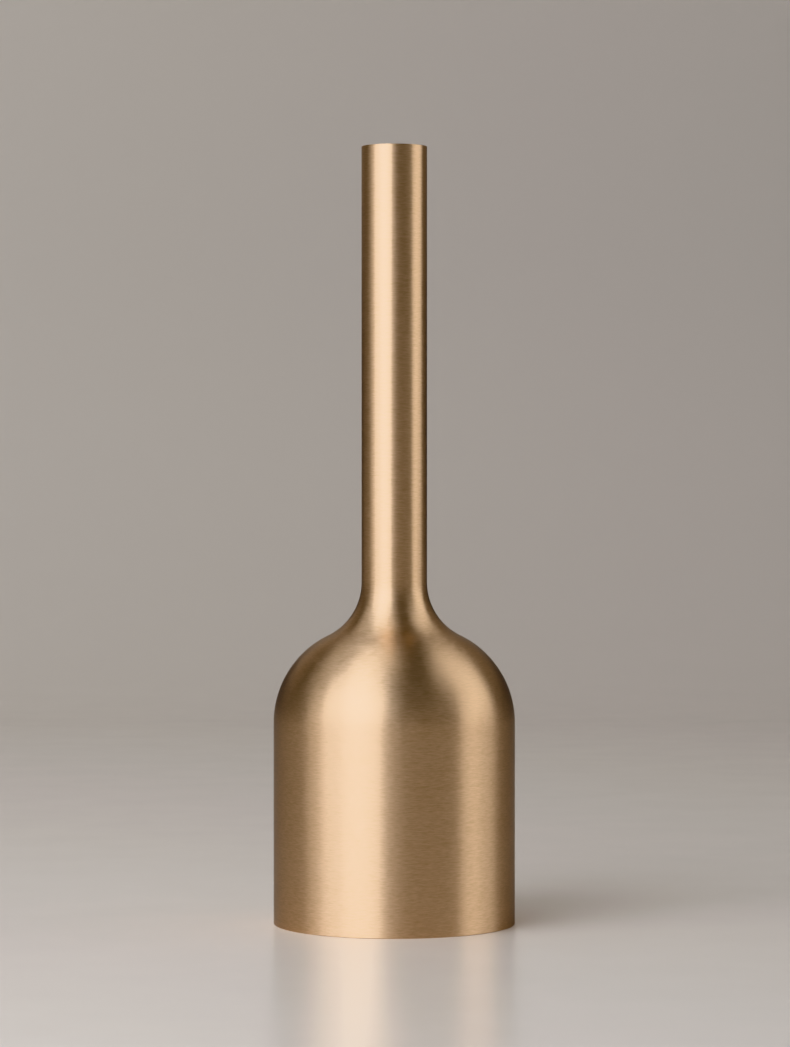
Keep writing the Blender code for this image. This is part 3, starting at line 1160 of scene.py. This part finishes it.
def room(studio):
    """The dim room round the floor. To the brass it is darker than to the eye."""
    made = bpy.data.worlds.new("studio room")
    made.use_nodes = True
    tree = made.node_tree
    tree.nodes.clear()
    to_brass, to_eye = 0.29, 1.0
    path = add(tree, "ShaderNodeLightPath").outputs
    rays = {0: path["Is Camera Ray"], 1: path["Is Transmission Ray"]}
    seen = add(tree, "ShaderNodeMath", rays, operation="MAXIMUM").outputs[0]
    strength = between(tree, seen, to_brass, to_eye)
    glow = add(tree, "ShaderNodeBackground", {"Color": solid_colour(studio.room), "Strength": strength})
    add(tree, "ShaderNodeOutputWorld", {"Surface": glow.outputs[0]})
    bpy.context.scene.world = made


def camera(studio):
    """A long lens a little above the vase's middle, tipped down by a degree as in the photograph."""
    focal_length, sensor_width = 120.7, 36
    # Metres right of the vase's axis, and degrees down
    off_centre, tip = 0.2 * MM, 0.957
    lens = bpy.data.cameras.new("camera")
    lens.lens = focal_length
    lens.sensor_width = sensor_width
    holder = bpy.data.objects.new("camera", lens)
    holder.location = (off_centre, -studio.camera_distance, studio.eye_height)
    holder.rotation_euler = (math.radians(90 - tip), 0, 0)
    bpy.context.scene.collection.objects.link(holder)
    bpy.context.scene.camera = holder


class BUDVASE_PT_build(bpy.types.Panel):
    """Lists the steps that build the vase"""

    bl_label = "Bud Vase"
    bl_space_type = "VIEW_3D"
    bl_region_type = "UI"
    bl_category = "Bud Vase"

    def draw(self, context):
        for step in STEPS:
            self.layout.operator(step.bl_idname)


STEPS = (
    BUDVASE_OT_shell,
    BUDVASE_OT_neck,
    BUDVASE_OT_plate,
    BUDVASE_OT_ballast,
    BUDVASE_OT_screws,
    BUDVASE_OT_felt,
    BUDVASE_OT_cushion,
    BUDVASE_OT_glass,
    BUDVASE_OT_studio,
)
GROUPS = {
    "bud_vase_brass": BrassSizes,
    "bud_vase_foot": FootSizes,
    "bud_vase_tube": TubeSizes,
    "bud_vase_finishes": Finishes,
    "bud_vase_studio": StudioSettings,
}


def register():
    for kind in (*GROUPS.values(), *STEPS, BUDVASE_PT_build):
        bpy.utils.register_class(kind)
    for name, group in GROUPS.items():
        setattr(bpy.types.Scene, name, bpy.props.PointerProperty(type=group))


def unregister():
    for name in GROUPS:
        delattr(bpy.types.Scene, name)
    for kind in (BUDVASE_PT_build, *reversed(STEPS), *GROUPS.values()):
        bpy.utils.unregister_class(kind)


def main():
    """Builds every piece and the studio."""
    register()
    for step in STEPS:
        operator = getattr(bpy.ops.bud_vase, step.bl_idname.split(".")[1])
        operator()


if __name__ == "__main__":
    main()
